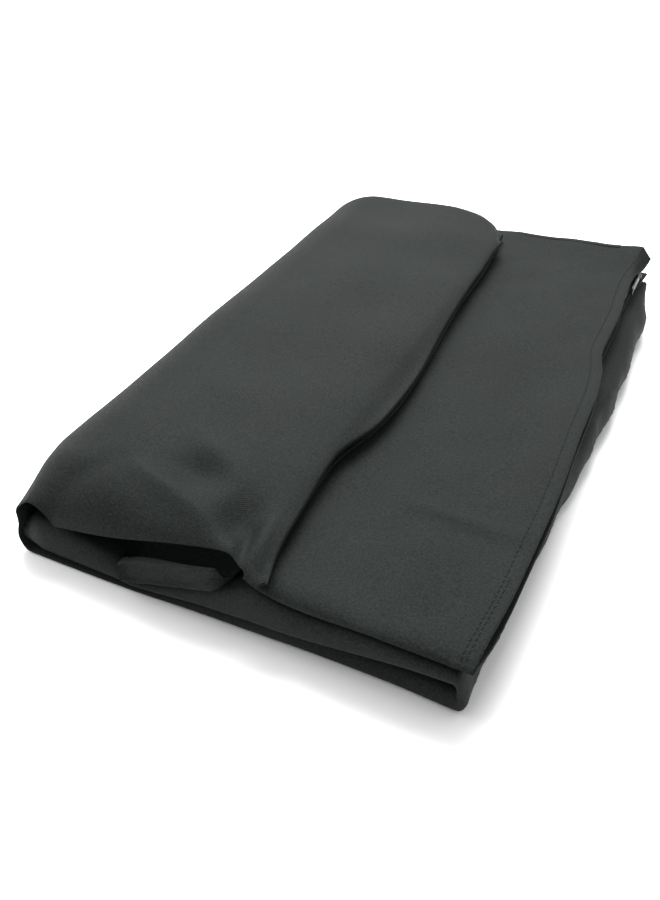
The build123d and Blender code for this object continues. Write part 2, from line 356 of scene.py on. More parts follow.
def cloth_material(name, dark, light, rough, sheen, twill=True, weave=4400.0, bump=0.3):
    """Woven cloth: a fine twill or plain weave, specks, slow changes of tone and a soft sheen."""
    material, nodes, links = new_material(name)
    shader = nodes["Principled BSDF"]
    cloth = nodes.new("ShaderNodeAttribute")
    cloth.attribute_name = "cloth"
    place = nodes.new("ShaderNodeTexCoord")
    wave = nodes.new("ShaderNodeTexWave")
    wave.bands_direction = "DIAGONAL" if twill else "X"
    wave.inputs["Scale"].default_value = weave / WEAVE_PER_SCALE
    wave.inputs["Distortion"].default_value = 1.5
    wave.inputs["Detail"].default_value = 1.0
    wave.inputs["Detail Scale"].default_value = 2.0
    links.new(cloth.outputs["Vector"], wave.inputs["Vector"])
    specks = noise(nodes, links, place.outputs["Object"], SPECK_SCALE, 1.0)
    patches = noise(nodes, links, place.outputs["Object"], PATCH_SCALE, 4.0)
    blend = nodes.new("ShaderNodeMix")
    blend.inputs[0].default_value = PATCH_SHARE
    links.new(specks, blend.inputs[2])
    links.new(patches, blend.inputs[3])
    colour = mix_colours(nodes, links, blend.outputs[0], dark, light)
    links.new(colour, shader.inputs["Base Color"])
    vary_roughness(nodes, links, patches, rough, 0.08)
    height = nodes.new("ShaderNodeMix")
    height.inputs[0].default_value = 0.5
    links.new(wave.outputs["Fac"], height.inputs[2])
    links.new(specks, height.inputs[3])
    add_relief(nodes, links, height.outputs[0], bump, 0.0003)
    shader.inputs["Sheen Weight"].default_value = sheen
    shader.inputs["Sheen Roughness"].default_value = 0.35
    shader.inputs["Sheen Tint"].default_value = CLOTH_TINT
    shader.inputs["Specular IOR Level"].default_value = 0.1
    shader.inputs["Specular Tint"].default_value = CLOTH_TINT
    return material


def hard_material(name, dark, light, rough, metallic=0.0, scale=300.0, bump=0.08):
    """Moulded nylon or enamelled metal: faint mottling, and roughness that varies."""
    material, nodes, links = new_material(name)
    shader = nodes["Principled BSDF"]
    place = nodes.new("ShaderNodeTexCoord")
    mottle = noise(nodes, links, place.outputs["Object"], scale)
    links.new(mix_colours(nodes, links, mottle, dark, light), shader.inputs["Base Color"])
    vary_roughness(nodes, links, mottle, rough, 0.1)
    add_relief(nodes, links, mottle, bump, 0.0002)
    shader.inputs["Metallic"].default_value = metallic
    return material


OUTER = cloth_material("outer_twill", (0.0036, 0.0045, 0.0041), (0.0144, 0.0165, 0.0155), 0.68, 0.012)
COATED = cloth_material(
    "coated_lining", (0.002, 0.0022, 0.0024), (0.004, 0.0042, 0.0045), 0.55, 0.0, twill=False
)
TAPE = cloth_material("zip_tape_cloth", (0.014, 0.015, 0.015), (0.024, 0.025, 0.026), 0.75, 0.1, False)
BRAID = cloth_material(
    "elastic_braid", (0.016, 0.016, 0.017), (0.03, 0.03, 0.031), 0.8, 0.1, False, weave=2500.0, bump=0.5
)
THREAD = cloth_material("sewing_thread", (0.003, 0.003, 0.003), (0.008, 0.008, 0.008), 0.6, 0.0, True, 9000.0)
COIL = hard_material("coil_nylon", (0.016, 0.016, 0.017), (0.026, 0.026, 0.028), 0.35)
ENAMEL = hard_material("black_enamel", (0.012, 0.012, 0.012), (0.02, 0.02, 0.02), 0.3, 0.4, 800.0, 0.05)


# --- the three plies ----------------------------------------------------------------------------

# near end of the plies: how far in its unevenness reaches, then heights along X, then where it ends
near_reach = smooth([(-103, 46), (0, 46), (40, 26), (100, 22)])
bottom_near_top = smooth([(-100, 2), (-49, 2.5), (-13, 6.5), (30, 9), (60, 11.5), (99, 12)])
middle_near_low = smooth([(-100, 2), (-49, 3), (-13, 7.5), (30, 10), (60, 14.5), (81, 18), (99, 19.5)])
middle_near_top = smooth(
    [(-102, 14.5), (-93, 21.5), (-87, 21.5), (-78, 20.5), (-58, 16.5), (-50, 14), (-45, 9.5), (-17, 16.5),
     (6, 24.5), (14, 27), (33, 25), (65, 27.5), (99, 27.5)]
)
bottom_near = smooth(
    [(-110, -171.4), (-98, -171.4), (-50, -171), (8, -169.5), (45, -168.6), (70, -168.6), (100, -169.5)]
)
middle_near = smooth([(-103, -169), (-90, -172), (-50, -172.2), (0, -173), (60, -173), (100, -173.4)])
top_near = smooth(
    [(-103, -146), (-50, -148), (-20, -151), (-4, -155), (6, -163), (14, -170), (30, -171.5), (100, -172.6)]
)


def blend_near(x, y, near, inner):
    """A height that goes from its value at the near end to its value further in."""
    w = step(y, Y_NEAR, Y_NEAR + near_reach(x))
    return near * (1 - w) + inner * w


def bottom_ply_top(x, y):
    return blend_near(x, y, bottom_near_top(x), BOTTOM_TOP - 0.3 + ripples(x, y, 1, 60, 0.15))


def middle_ply_low(x, y):
    return blend_near(x, y, middle_near_low(x), MIDDLE_LOW + 0.2 + ripples(x, y, 1, 60, 0.15))


def middle_ply_top(x, y):
    return blend_near(x, y, middle_near_top(x), MIDDLE_TOP - 0.3 + ripples(x, y, 2, 55, 0.2))


# how far the far edge of the top ply curls up, along X
far_curl = smooth([(-20, 0), (0, 0.6), (18, 2.2), (45, 3.6), (69, 5), (87, 6.4), (97, 7), (104, 4)])


def top_ply_low(x, y):
    near = np.maximum(middle_near_top(x) + 0.4, 19)
    z = blend_near(x, y, near, TOP_LOW + 0.2 + ripples(x, y, 2, 55, 0.2))
    return z + far_curl(x) * 0.5 * step(y, 150, 176)


hem_rise = smooth([(-110, 0), (30, 0), (60, 0.1), (80, 0.5), (92, 1.2), (104, 1.3)])


# soft folds across the top ply: start, end, width, and height or (below 0) depth
TOP_FOLDS = (
    ((52, -108), (98, -110), 5.0, -0.9),
    ((22, -166), (92, -158), 7.0, -0.2),
    ((26, -60), (80, -20), 12.0, 0.6),
    ((30, 60), (90, 30), 14.0, 0.5),
)


def add_folds(z, x, y, folds):
    for start, end, width, height in folds:
        z = z + fold_line(x, y, start, end, width, height)
    return z


def top_ply_top(x, y):
    """The top ply's upper face: soft broad waves, a crease across it near the hem, and the hem."""
    z = TOP_TOP - 0.6 + hem_rise(x)
    calm = 1 - step(x, 78, 92) * 0.7
    z = z + ripples(x, y, 3, 70, 0.5) * calm + ripples(x, y, 4, 26, 0.16) * calm
    z = z + fold_line(x, y, (40, -98), (108, -105), 3.2, 1.7) * (1 - step(x, 98, 105))
    z = add_folds(z, x, y, TOP_FOLDS)
    z = z + dent(x, y, (82, -146), (8, 9), 0.5)
    z = z + dent(x, y, (63, -148), (16, 18), -1.1)   # room for the inner slider at the end of its run
    z = z - 1.2 * step(x, -60, -102)
    z = z + far_curl(x) * step(y, 138, 178) ** 1.5 * 1.4
    return z - 6 * step(x, 91, 96.5) * step(y, 136, 160)   # the far corner droops


# along Y: where the hem ends, how far the right bend stands out, and how far the left edge leans in
hem_edge = smooth(
    [(-175, 103), (-125, 105), (-85, 105), (-27, 102.5), (38, 98), (50, 95), (58, 94), (90, 94), (136, 91.5),
     (150, 92), (160, 94.5), (174, 96.5)]
)
bend_edge = smooth(
    [(-171, -6), (-125, -4.5), (-100, -4.5), (-3, -1), (31, 0.5), (71, 0), (98, -1), (160, -6), (172, -8)]
)
left_lean = smooth([(-173, 5.5), (-160, 4.2), (-146, 1.6), (-134, 0), (150, 0), (168, 2)])

EDGE_THICK = 1.7              # from the outer to the inner face, at the left edge
TURN_LENGTH = 28.0            # cloth in the turn from the left edge down to the table
BOTTOM_RUN = BEND_X - TURN_RIGHT
BEND_LENGTH = math.pi * MIDDLE_TOP / 2
MIDDLE_RUN = BEND_X - NESTED_LEFT
BASE_STARTS = np.cumsum([0, TURN_LENGTH, BOTTOM_RUN, BEND_LENGTH, MIDDLE_RUN])


def base_faces(s, y):
    """The outer and inner face of the cloth from the left edge, under the stack, round the right
    bend and back to the left as the middle ply."""
    turn = np.clip(s / TURN_LENGTH, 0, 1) * math.pi / 2
    across = TURN_RIGHT - X_LEFT
    lean = left_lean(y) * (0.4 + 0.6 * step(HINGE_Z * (1 - np.sin(turn)), 6, 18))
    low_x = TURN_RIGHT - (across - lean) * np.abs(np.cos(turn)) ** 0.7
    low_z = HINGE_Z * (1 - np.sin(turn))
    lift = np.clip(ripples(low_x, y, 5, 45, 0.4), 0, 1) * step(y, -160, -120)
    thick = EDGE_THICK + (bottom_ply_top(low_x, y) - EDGE_THICK) * step(turn, 0.5, math.pi / 2)
    turned = (
        points_at(low_x, y, low_z),
        points_at(low_x + thick * np.cos(turn), y, low_z + thick * np.sin(turn)),
    )
    x = TURN_RIGHT + (s - BASE_STARTS[1])
    lift = lift * step(s, TURN_LENGTH, TURN_LENGTH + 12)
    bottom = points_at(x, y, lift), points_at(x, y, bottom_ply_top(x, y))
    angle = np.clip((s - BASE_STARTS[2]) / BEND_LENGTH, 0, 1) * math.pi
    top = middle_ply_top(BEND_X, y)
    inner_low, inner_high = bottom_ply_top(BEND_X, y), middle_ply_low(BEND_X, y)
    reach = BEND_RIGHT - BEND_X + bend_edge(y)
    crumple = ripples(angle * 12, y, 6, 45, 0.7) + ripples(angle * 10, y, 7, 11, 0.32)
    reach = reach + crumple * np.sin(angle)
    squareness = 0.9 - 0.5 * (1 - step(y, -171, -135)) * (1 - step(angle, 1.2, 2.4))
    bend = (
        points_at(BEND_X + reach * np.sin(angle) ** squareness, y, top / 2 * (1 - np.cos(angle))),
        points_at(
            BEND_X + 0.4 * np.sin(angle), y,
            (inner_low + inner_high) / 2 - (inner_high - inner_low) / 2 * np.cos(angle),
        ),
    )
    back_x = BEND_X - (s - BASE_STARTS[3])
    middle = points_at(back_x, y, middle_ply_top(back_x, y)), points_at(back_x, y, middle_ply_low(back_x, y))
    faces = []
    for k in range(2):
        face = np.where((s < BASE_STARTS[1])[..., None], turned[k], bottom[k])
        face = np.where((s > BASE_STARTS[2])[..., None], bend[k], face)
        faces.append(np.where((s > BASE_STARTS[3])[..., None], middle[k], face))
    return faces


def base_near(s):
    x_low = np.where(s < BASE_STARTS[1], X_LEFT, TURN_RIGHT + s - BASE_STARTS[1])
    x_high = BEND_X - (s - BASE_STARTS[3])
    w = step(s, BASE_STARTS[2], BASE_STARTS[3])
    return bottom_near(x_low) * (1 - w) + middle_near(x_high) * w


def base_far(s):
    w = step(s, BASE_STARTS[2], BASE_STARTS[3])
    wobble = ripples(s, 0 * s, 8, 90, 0.7)
    return (Y_FAR - 4.5) * (1 - w) + (Y_FAR - 5.5) * w + wobble


def stations(start, end, pitch):
    return np.linspace(start, end, max(2, int(abs(end - start) / pitch) + 1))


def base_cloth():
    """The four panels that run through the bottom and middle plies."""
    total = BASE_STARTS[-1]
    s = np.concatenate([
        stations(0, TURN_LENGTH, 1.8)[:-1],
        stations(BASE_STARTS[1], BASE_STARTS[2], 3.2)[:-1],
        stations(BASE_STARTS[2], BASE_STARTS[3], 1.4)[:-1],
        stations(BASE_STARTS[3], total, 3.0),
    ])
    pieces = []
    grid = wrapped(s, base_faces, base_near, base_far, 5.0, pitch=3.6)
    outer = cloth_mesh("base_outer_front", grid, TWILL, OUTER)
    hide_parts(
        "bottom_ply_outer_front", "middle_ply_outer_front", "right_fold_outer", "left_fold_lower"
    )
    pieces.append((outer, "outer_fabric", total))
    inner = s[s > BASE_STARTS[1] + 2][::2]
    layers = (
        ("base_inner_front", "inner_front", 1.0, LINING, COATED, "lining_fabric", ("right_fold_lining",)),
        ("base_inner_back", "inner_back", 2.0, LINING, COATED, "lining_fabric", ("right_fold_inner_layers",)),
        ("base_outer_back", "outer_back", 3.0, TWILL, OUTER, "outer_fabric", ()),
    )
    for name, panel, inset, thick, material, slot, more in layers:
        grid = wrapped(inner, base_faces, base_near, base_far, 4.0, inset=inset, pitch=7.0)
        piece = cloth_mesh(name, grid, thick, material)
        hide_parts(f"bottom_ply_{panel}", f"middle_ply_{panel}", *more)
        pieces.append((piece, slot, total - BASE_STARTS[1]))
    for piece, slot, length in pieces:
        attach(piece, "base_plies")


TOP_RUN = HEM_X - NESTED_LEFT
HEM_ROLL = 0.65
HEM_DEPTH = 9.0
HEM_TURN = math.pi * HEM_ROLL


def hemmed(start, faces_at, edge, run, roll, depth):
    """Both faces of a ply or sleeve whose right edges roll over into a turned hem.

    faces_at(x, y) gives the heights of face a (above) and face b (below).
    """
    turn = math.pi * roll

    def faces(s, y):
        beyond = np.clip(s - run, 0, None)
        angle = np.clip(beyond / roll, 0, math.pi)
        back = np.clip(beyond - turn, 0, depth)
        share = np.clip(s / run, 0, 1)
        x_flat = start + share * run
        x_flat = x_flat + (edge(y) - (start + run)) * step(share, 0.35, 1.0)
        x = x_flat + roll * np.sin(angle) - back
        high, low = faces_at(x, y)
        drop = roll * (1 - np.cos(angle))
        return points_at(x, y, high - drop), points_at(x, y, low + drop)

    return faces


def top_heights(x, y):
    return top_ply_top(x, y), top_ply_low(x, y)


top_faces = hemmed(NESTED_LEFT, top_heights, hem_edge, TOP_RUN, HEM_ROLL, HEM_DEPTH)


def top_near_at(s):
    return top_near(NESTED_LEFT + s)


def top_far_at(s):
    return Y_FAR - 1.2 + ripples(s, 0 * s, 9, 80, 0.6) - 1.5 * step(s, TOP_RUN - 10, TOP_RUN)


def top_cloth():
    """The four panels of the top ply, the outer front one with its turned hem."""
    s = np.concatenate([
        stations(0, TOP_RUN, 2.6)[:-1], stations(TOP_RUN, TOP_RUN + HEM_TURN, HEM_TURN / 6)[:-1],
        stations(TOP_RUN + HEM_TURN, TOP_RUN + HEM_TURN + HEM_DEPTH, 3.0),
    ])
    grid = wrapped(s, top_faces, top_near_at, top_far_at, 11.0, bias=0.62, pitch=3.0)
    outer = cloth_mesh("top_ply_outer_front_cloth", grid, TWILL, OUTER, inward=1)
    pieces = [(outer, "top_ply_outer_front", "outer_fabric", s[-1])]
    lining_end = span("top_ply_inner_front", 0)[1] - NESTED_LEFT
    back_end = span("top_ply_outer_back", 0)[1] - NESTED_LEFT
    for name, end, inset, thick, material, slot in (
        ("top_ply_inner_front", lining_end, 1.1, LINING, COATED, "lining_fabric"),
        ("top_ply_inner_back", lining_end, 2.4, LINING, COATED, "lining_fabric"),
        ("top_ply_outer_back", back_end, 3.6, TWILL, OUTER, "outer_fabric"),
    ):
        run = stations(0, end, 6.0)
        grid = wrapped(run, top_faces, top_near_at, top_far_at, 7.0, bias=0.6, inset=inset, pitch=7.0)
        pieces.append((cloth_mesh(name + "_cloth", grid, thick, material, inward=1), name, slot, end))
    for piece, node, slot, length in pieces:
        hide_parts(node)
        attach(piece, "top_ply")


# --- the sleeve flap ----------------------------------------------------------------------------

# the flap's right edge along Y, its near and far ends along X, and how low its near end hangs
flap_edge = smooth(
    [(-174, 21), (-160, 18), (-130, 15), (-98, 13), (-65, 19.5), (-42, 20.5), (-16, 20), (22, 16.5), (65, 14),
     (135, 12), (172, 12)]
)
flap_near = smooth(
    [(-108, -172), (-97, -172), (-84, -172), (-60, -171.8), (-40, -170.8), (-20, -169), (0, -167.4),
     (6, -168.4), (12, -172), (18, -173), (22, -172)]
)
flap_far = smooth(
    [(-108, 152), (-97, 158), (-85, 163), (-57, 168), (-30, 170), (-14, 168), (0, 164), (12, 154), (20, 138)]
)
flap_near_edge = smooth(
    [(-108, 16), (-100, 22), (-86, 22), (-77, 23.5), (-56, 27.5), (-23, 36), (-7, 39.5), (3, 41), (8, 40.5),
     (13.5, 33.5), (16.5, 33), (22, 39)]
)
SHOULDER = 27.5               # how far the crown takes to build up from the left edge
SHOULDER_LENGTH = 40.0        # cloth in that rise
SLEEVE_ROLL = 0.9             # radius of the rolled hem at a sleeve's mouth
SLEEVE_HEM = 9.0              # how far the hem is turned back
SLEEVE_HEM_RUN = 12.0         # cloth in the roll and the hem together


# creases in the flap: start, end, width, and height or (below 0) depth
FLAP_FOLDS = (
    ((-62, -142), (12, -168), 4.2, 3.2),
    ((-50, -112), (-6, -136), 6.0, 1.6),
    ((2, -148), (10, -176), 2.6, -3.4),
    ((8, -142), (17, -176), 3.2, 2.0),
    ((-84, -171), (-62, -138), 5.0, -1.4),
    ((-78, -60), (-10, -96), 11.0, 0.8),
    ((-70, 30), (10, -20), 16.0, 0.7),
    ((-60, 140), (14, 90), 12.0, -0.8),
)
crown_profile = smooth([(-80, -0.3), (-50, 0.5), (-20, 0.7), (0, -0.3), (10, -1.8), (20, -5)])


def flap_crown(x, y):
    """Height of the flap's upper skin, right of the shoulder."""
    z = FLAP_TOP + crown_profile(x)
    z = z + ripples(x, y, 11, 90, 0.7) + ripples(x, y, 12, 34, 0.25)
    z = z + dent(x, y, (-1, -152), (9, 12), 6.0)
    z = z + dent(x, y, (-31, -136), (13, 8), 4.2)
    z = add_folds(z, x, y, FLAP_FOLDS)
    near_drop = 2.0 + 2.0 * step(x, -20, -50) + 4.2 * step(x, -56, -84)
    return z - near_drop * step(y, -146, -174) - 0.6 * step(y, 140, 172)


upper_lean = smooth([(-173, 8), (-160, 5.8), (-146, 2.2), (-134, 0), (150, 0), (168, 3)])
FLAP_RUN = FLAP_RIGHT + 1.5 - (X_LEFT + SHOULDER)


def upper_heights(x, y):
    """Heights of the left sleeve's upper face and of its lower one, which hangs down at the near end."""
    near = step(y, -172, -146)
    high = flap_crown(x, y)
    low = (SLEEVE_MIDDLE + 0.3) * near + (flap_near_edge(x) - 0.8) * (1 - near)
    return high, np.minimum(low, high - 2.6)


def upper_faces(s, y):
    """Both faces of the left sleeve: round the left shoulder, over the stack and into the mouth."""
    turn = np.clip(s / SHOULDER_LENGTH, 0, 1) * math.pi / 2
    lean = left_lean(y) + (upper_lean(y) - left_lean(y)) * step(turn, 0.0, 0.7)
    reach = SHOULDER - lean
    middle_x = X_LEFT + SHOULDER
    round_x = middle_x - reach * np.cos(turn)
    top, under = upper_heights(np.full_like(s, middle_x), y)
    round_z = HINGE_Z + (top - HINGE_Z) * np.sin(turn)
    thick = EDGE_THICK + (top - under - EDGE_THICK) * step(turn, 0.7, 1.55)
    shoulder = (
        points_at(round_x, y, round_z),
        points_at(round_x + thick * np.cos(turn), y, round_z - thick * np.sin(turn)),
    )
    flat = hemmed(middle_x, upper_heights, flap_edge, FLAP_RUN, SLEEVE_ROLL, SLEEVE_HEM)
    flat = flat(s - SHOULDER_LENGTH, y)
    return [np.where((s < SHOULDER_LENGTH)[..., None], shoulder[k], flat[k]) for k in range(2)]


def nominal_x(s):
    """X of a station along the left sleeve, before its edges are made uneven."""
    return np.where(
        s < SHOULDER_LENGTH,
        X_LEFT + SHOULDER * (1 - np.cos(np.clip(s / SHOULDER_LENGTH, 0, 1) * math.pi / 2)),
        np.minimum(X_LEFT + SHOULDER + s - SHOULDER_LENGTH, FLAP_RIGHT + 1.5),
    )


def mouth_stations(run):
    """Stations through the rolled hem at a sleeve's mouth, which starts at run."""
    rolled = run + math.pi * SLEEVE_ROLL
    return [stations(run, rolled, 0.5)[:-1], stations(rolled, run + SLEEVE_HEM_RUN, 2.5)]


def upper_grid():
    """The left sleeve's stations and grid."""
    total = SHOULDER_LENGTH + FLAP_RUN
    s = np.concatenate([
        stations(0, SHOULDER_LENGTH, 1.6)[:-1], stations(SHOULDER_LENGTH, total, 1.7)[:-1],
        *mouth_stations(total),
    ])
    return s, wrapped(
        s, upper_faces, lambda q: flap_near(nominal_x(q)), lambda q: flap_far(nominal_x(q)), 17.0, 8.0,
        bias=0.9, pitch=2.6,
    )


# the loop's upper and lower edge and its near end along X, and the right sleeve's right edge along Y
loop_top = smooth(
    [(-97, 20), (-60, 18), (-49, 16.5), (-46.5, 20), (-42, 22.5), (-9, 31.5), (6.5, 35), (20, 35)]
)
loop_low = smooth(
    [(-97, 17), (-60, 14), (-49, 10.5), (-46, 8.5), (-28, 13), (-10, 18), (1, 22.5), (8.5, 27.5), (20, 31)]
)
loop_near = smooth(
    [(-98, -140), (-58, -146), (-51, -153), (-49, -168), (-47, -172.6), (4, -172.6), (8, -171),
     (12, -164), (20, -150)]
)
lower_edge = smooth(
    [(-174, 10), (-129, 12.5), (-98, 11.5), (-60, 18.5), (-40, 20), (0, 18), (65, 12.5), (100, 12), (140, 9),
     (168, 6)]
)


def lower_heights(x, y):
    """Heights of the right sleeve, which hangs over the stack's near end as a flat loop."""
    near = step(y, -168, -140)
    ceiling = np.minimum(SLEEVE_MIDDLE - 0.5, SLEEVE_MIDDLE - 0.5 - 3.0 * step(x, -86, -98))
    high = ceiling * near + loop_top(x) * (1 - near)
    low = (FLAP_LOW + 0.3) * near + loop_low(x) * (1 - near)
    channel = step(y, -171, -166.5) * (1 - step(y, -158, -142)) * step(x, -50, -45) * (1 - step(x, 7, 13))
    return high - channel * (high - low - 2.4), low


LOWER_START = span("right_sleeve_outer", 0)[0]
LOWER_RUN = FLAP_RIGHT + 2.5 - LOWER_START
lower_faces = hemmed(LOWER_START, lower_heights, lower_edge, LOWER_RUN, SLEEVE_ROLL, SLEEVE_HEM)


def along_x(curve, start, move=0.0):
    """A curve along X as one along the cloth, which starts at start."""
    return lambda q: curve(start + q) + move


def loop_rim(grid, x):
    """Lets the loop's upper and left edges stand out of its flat near face as a thin rim."""
    x = np.broadcast_to(x[:, None], grid.shape[:2])
    y, z = grid[..., 1], grid[..., 2]
    front = 1 - step(y, loop_near(x) + 0.5, loop_near(x) + 2.0)
    height = (z - loop_low(x)) / (loop_top(x) - loop_low(x))
    rim = np.exp(-(((height - 0.92) / 0.09) ** 2)) + 0.6 * np.exp(-(((height - 0.06) / 0.08) ** 2))
    left = np.exp(-(((x + 46.6) / 1.5) ** 2))
    grid = grid.copy()
    grid[..., 1] -= 2.4 * front * np.maximum(rim * step(x, -49, -46), left)
    return grid


def lower_grid():
    """The right sleeve's stations and grid."""
    s = np.concatenate([stations(0, LOWER_RUN, 1.8)[:-1], *mouth_stations(LOWER_RUN)])
    far = smooth([(-98, 150), (-60, 160), (0, 166), (12, 166), (20, 158)])
    grid = wrapped(
        s, lower_faces, along_x(loop_near, LOWER_START), along_x(far, LOWER_START), 3.0, 6.0,
        boxy=5.0, pitch=3.0, arc=14,
    )
    return s, loop_rim(grid, LOWER_START + s)


def sleeves():
    """The outer tube of both sleeves."""
    s, grid = upper_grid()
    left = cloth_mesh("left_sleeve_cloth", grid, TWILL, OUTER, cyclic=True, inward=1)
    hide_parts("left_sleeve_outer", "left_fold_upper")
    lower_s, grid = lower_grid()
    right = cloth_mesh("right_sleeve_cloth", grid, TWILL, OUTER, cyclic=True, inward=1)
    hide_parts("right_sleeve_outer")
    for piece, length in ((left, s[-1]), (right, lower_s[-1])):
        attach(piece, "sleeve_flap")


def level(value):
    """A curve that has the same value everywhere."""
    return lambda q: value + 0 * q


def lining_grids():
    """The grid of each sleeve's lining, and the length of its cloth."""
    s = stations(SHOULDER_LENGTH - 4, SHOULDER_LENGTH + FLAP_RUN - 9, 4.0)
    left = wrapped(
        s, upper_faces, lambda q: flap_near(nominal_x(q)) + 22, lambda q: flap_far(nominal_x(q)) - 10,
        17.0, 14.0, bias=0.9, inset=2.3, pitch=6.0,
    )
    far = smooth([(-98, 144), (-60, 154), (0, 160), (12, 158), (20, 150)])
    right = wrapped(
        stations(3, LOWER_RUN - 9, 4.0), lower_faces, along_x(loop_near, LOWER_START, 5),
        along_x(far, LOWER_START), 4.0, 6.0, inset=2.2, pitch=6.0,
    )
    return {"left": (left, s[-1] - s[0]), "right": (right, LOWER_RUN - 12)}


def gathered_cuff(side, middle_z):
    """A pleated cuff that lies flat inside its sleeve."""
    low_x, high_x = span(f"{side}_cuff", 0)
    low_y, high_y = span(f"{side}_cuff", 1)
    cuff_length = high_x - low_x

    def faces(s, y):
        x = low_x + s
        pleats = 0.28 * np.sin(y * 1.45 + ripples(x, y, 21, 40, 0.9)) * step(abs(y), high_y, high_y - 8)
        z = np.minimum(middle_z, flap_crown(x, y) - 3.0) + pleats
        return points_at(x, y, z + 1.0), points_at(x, y, z - 1.0)

    grid = wrapped(stations(0, cuff_length, 3.0), faces, level(low_y), level(high_y), 1.1, 1.1, pitch=1.1)
    cuff = cloth_mesh(f"{side}_cuff_cloth", grid, LINING, COATED, cyclic=True, inward=1)
    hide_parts(f"{side}_cuff")
    return cuff


def elastic_band(node, middle_z):
    """A ribbed elastic round a cuff."""
    low_x, high_x = span(node, 0)
    low_y, high_y = span(node, 1)

    def faces(s, y):
        rib = 0.06 * np.sin(s * 4.2)
        return points_at(low_x + s, y, middle_z + 0.5 + rib), points_at(low_x + s, y, middle_z - 0.5 - rib)

    run = stations(0, high_x - low_x, 0.45)
    grid = wrapped(run, faces, level(low_y + 2), level(high_y - 2), 0.5, 0.5, pitch=3.0)
    elastic = cloth_mesh(f"{node}_band", grid, 0.4, BRAID, cyclic=True, inward=1)
    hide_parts(node)
    return elastic


def sleeve_insides():
    """The lining of each sleeve, and its cuff with the wrist and forearm elastics."""
    middles = {"left": (FLAP_TOP + SLEEVE_MIDDLE) / 2 + 0.1, "right": (FLAP_LOW + SLEEVE_MIDDLE) / 2}
    for side, (grid, length) in lining_grids().items():
        lining = cloth_mesh(f"{side}_sleeve_lining_cloth", grid, LINING, COATED, cyclic=True, inward=1)
        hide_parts(f"{side}_sleeve_lining")
        pieces = [lining, gathered_cuff(side, middles[side])]
        pieces += [elastic_band(f"{side}_{band}_elastic", middles[side]) for band in ("wrist", "forearm")]
        for piece in pieces:
            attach(piece, "sleeve_flap")


# --- seams, stitches and zips -------------------------------------------------------------------

def seam_strip(s, faces, far, share, side):
    """A binding along the far edge of one leaf: side 0 is face a's leaf, side 1 is face b's."""
    s = np.asarray(s, float)[:, None]
    edge = far(s)
    rim = [(-2.2, 0.03), (0.6, 0.0), (1.5, 0.35), (1.5, 0.65), (0.6, 1.0), (-2.2, 0.97)]
    columns = []
    for out, depth in rim:
        a, b = faces(s, edge)
        near, other = (a, b) if side == 0 else (b, a)
        point = near + (other - near) * share * depth
        point[..., 1] = edge + out
        columns.append(point[:, 0])
    return np.stack(columns, axis=1)


def side_seams():
    """The sewn side seams, where front and back panels meet at the far edge of every leaf."""
    back_end = span("top_ply_side_seams", 0)[1] - NESTED_LEFT
    rows = (
        ("base", stations(BASE_STARTS[1], BASE_STARTS[-1], 3.5), base_faces, base_far, "base_plies",
         ("bottom_ply_side_seams", "middle_ply_side_seams")),
        ("top_ply", stations(0, back_end, 3.5), top_faces, top_far_at, "top_ply", ("top_ply_side_seams",)),
    )
    for name, s, faces, far, body, nodes in rows:
        strips = []
        for side in range(2):
            grid = seam_strip(s, faces, far, 0.4, side)
            count, columns = grid.shape[:2]
            index = np.arange(count * columns).reshape(count, columns)
            index = np.concatenate([index, index[:, :1]], axis=1)
            corners = index[:-1, :-1], index[1:, :-1], index[1:, 1:], index[:-1, 1:]
            quads = np.stack(corners, axis=-1).reshape(-1, 4)
            if side:
                quads = quads[:, ::-1]
            strips.append((grid.reshape(-1, 3), quads))
        seams = joined(f"{name}_seam_binding", strips, OUTER)
        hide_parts(*nodes)
        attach(seams, body)


STITCH_PITCH = 3.0
STITCH = (1.15, 0.26, 0.2)    # half length, half width and half height of one stitch


def stitch_row(path, up, first=0.0, last=1.0, seed=0):
    """Stitches along part of a path of points, lying on a surface with the given normals."""
    gaps = np.linalg.norm(np.diff(path, axis=0), axis=-1)
    at = np.concatenate([[0], np.cumsum(gaps)])
    draw = np.random.default_rng(SEED + seed)
    shapes = []
    for place in np.arange(at[-1] * first + 2, at[-1] * last - 2, STITCH_PITCH):
        place = place + draw.normal(0, 0.08)
        middle = np.array([np.interp(place, at, path[:, k]) for k in range(3)])
        ahead = np.array([np.interp(place + 1, at, path[:, k]) for k in range(3)])
        normal = np.array([np.interp(place, at, up[:, k]) for k in range(3)])
        along = ahead - middle
        along /= np.linalg.norm(along)
        across = np.cross(along, normal)
        tilt = along + across * draw.normal(0.08, 0.05)
        shapes.append(bead(
            middle + normal * 0.06, tilt * STITCH[0], across * STITCH[1], normal * STITCH[2]
        ))
    return shapes


def hem_stitches():
    """The row of stitches that holds the turned hem, doubled where it was gone over twice."""
    s = np.array([TOP_RUN - 5.6, TOP_RUN - 5.2, TOP_RUN - 4.8])
    shapes = []
    for offset, first, last, seed in ((0.0, 0.0, 1.0, 1), (1.7, 0.43, 0.5, 2)):
        grid = wrapped(s + offset, top_faces, top_near_at, top_far_at, 11.0, bias=0.62, pitch=3.0)
        shapes += stitch_row(grid[1], -grid_normals(grid, False)[1], first, last, seed)
    stitches = joined("hem_stitches", shapes, THREAD)
    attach(stitches, "top_ply")


COIL_PITCH = 1.27
COIL_SHIFT = 0.85             # from the middle of a zip to a row of its coil
ZIP_STEP = 4.0                # between points along a zip


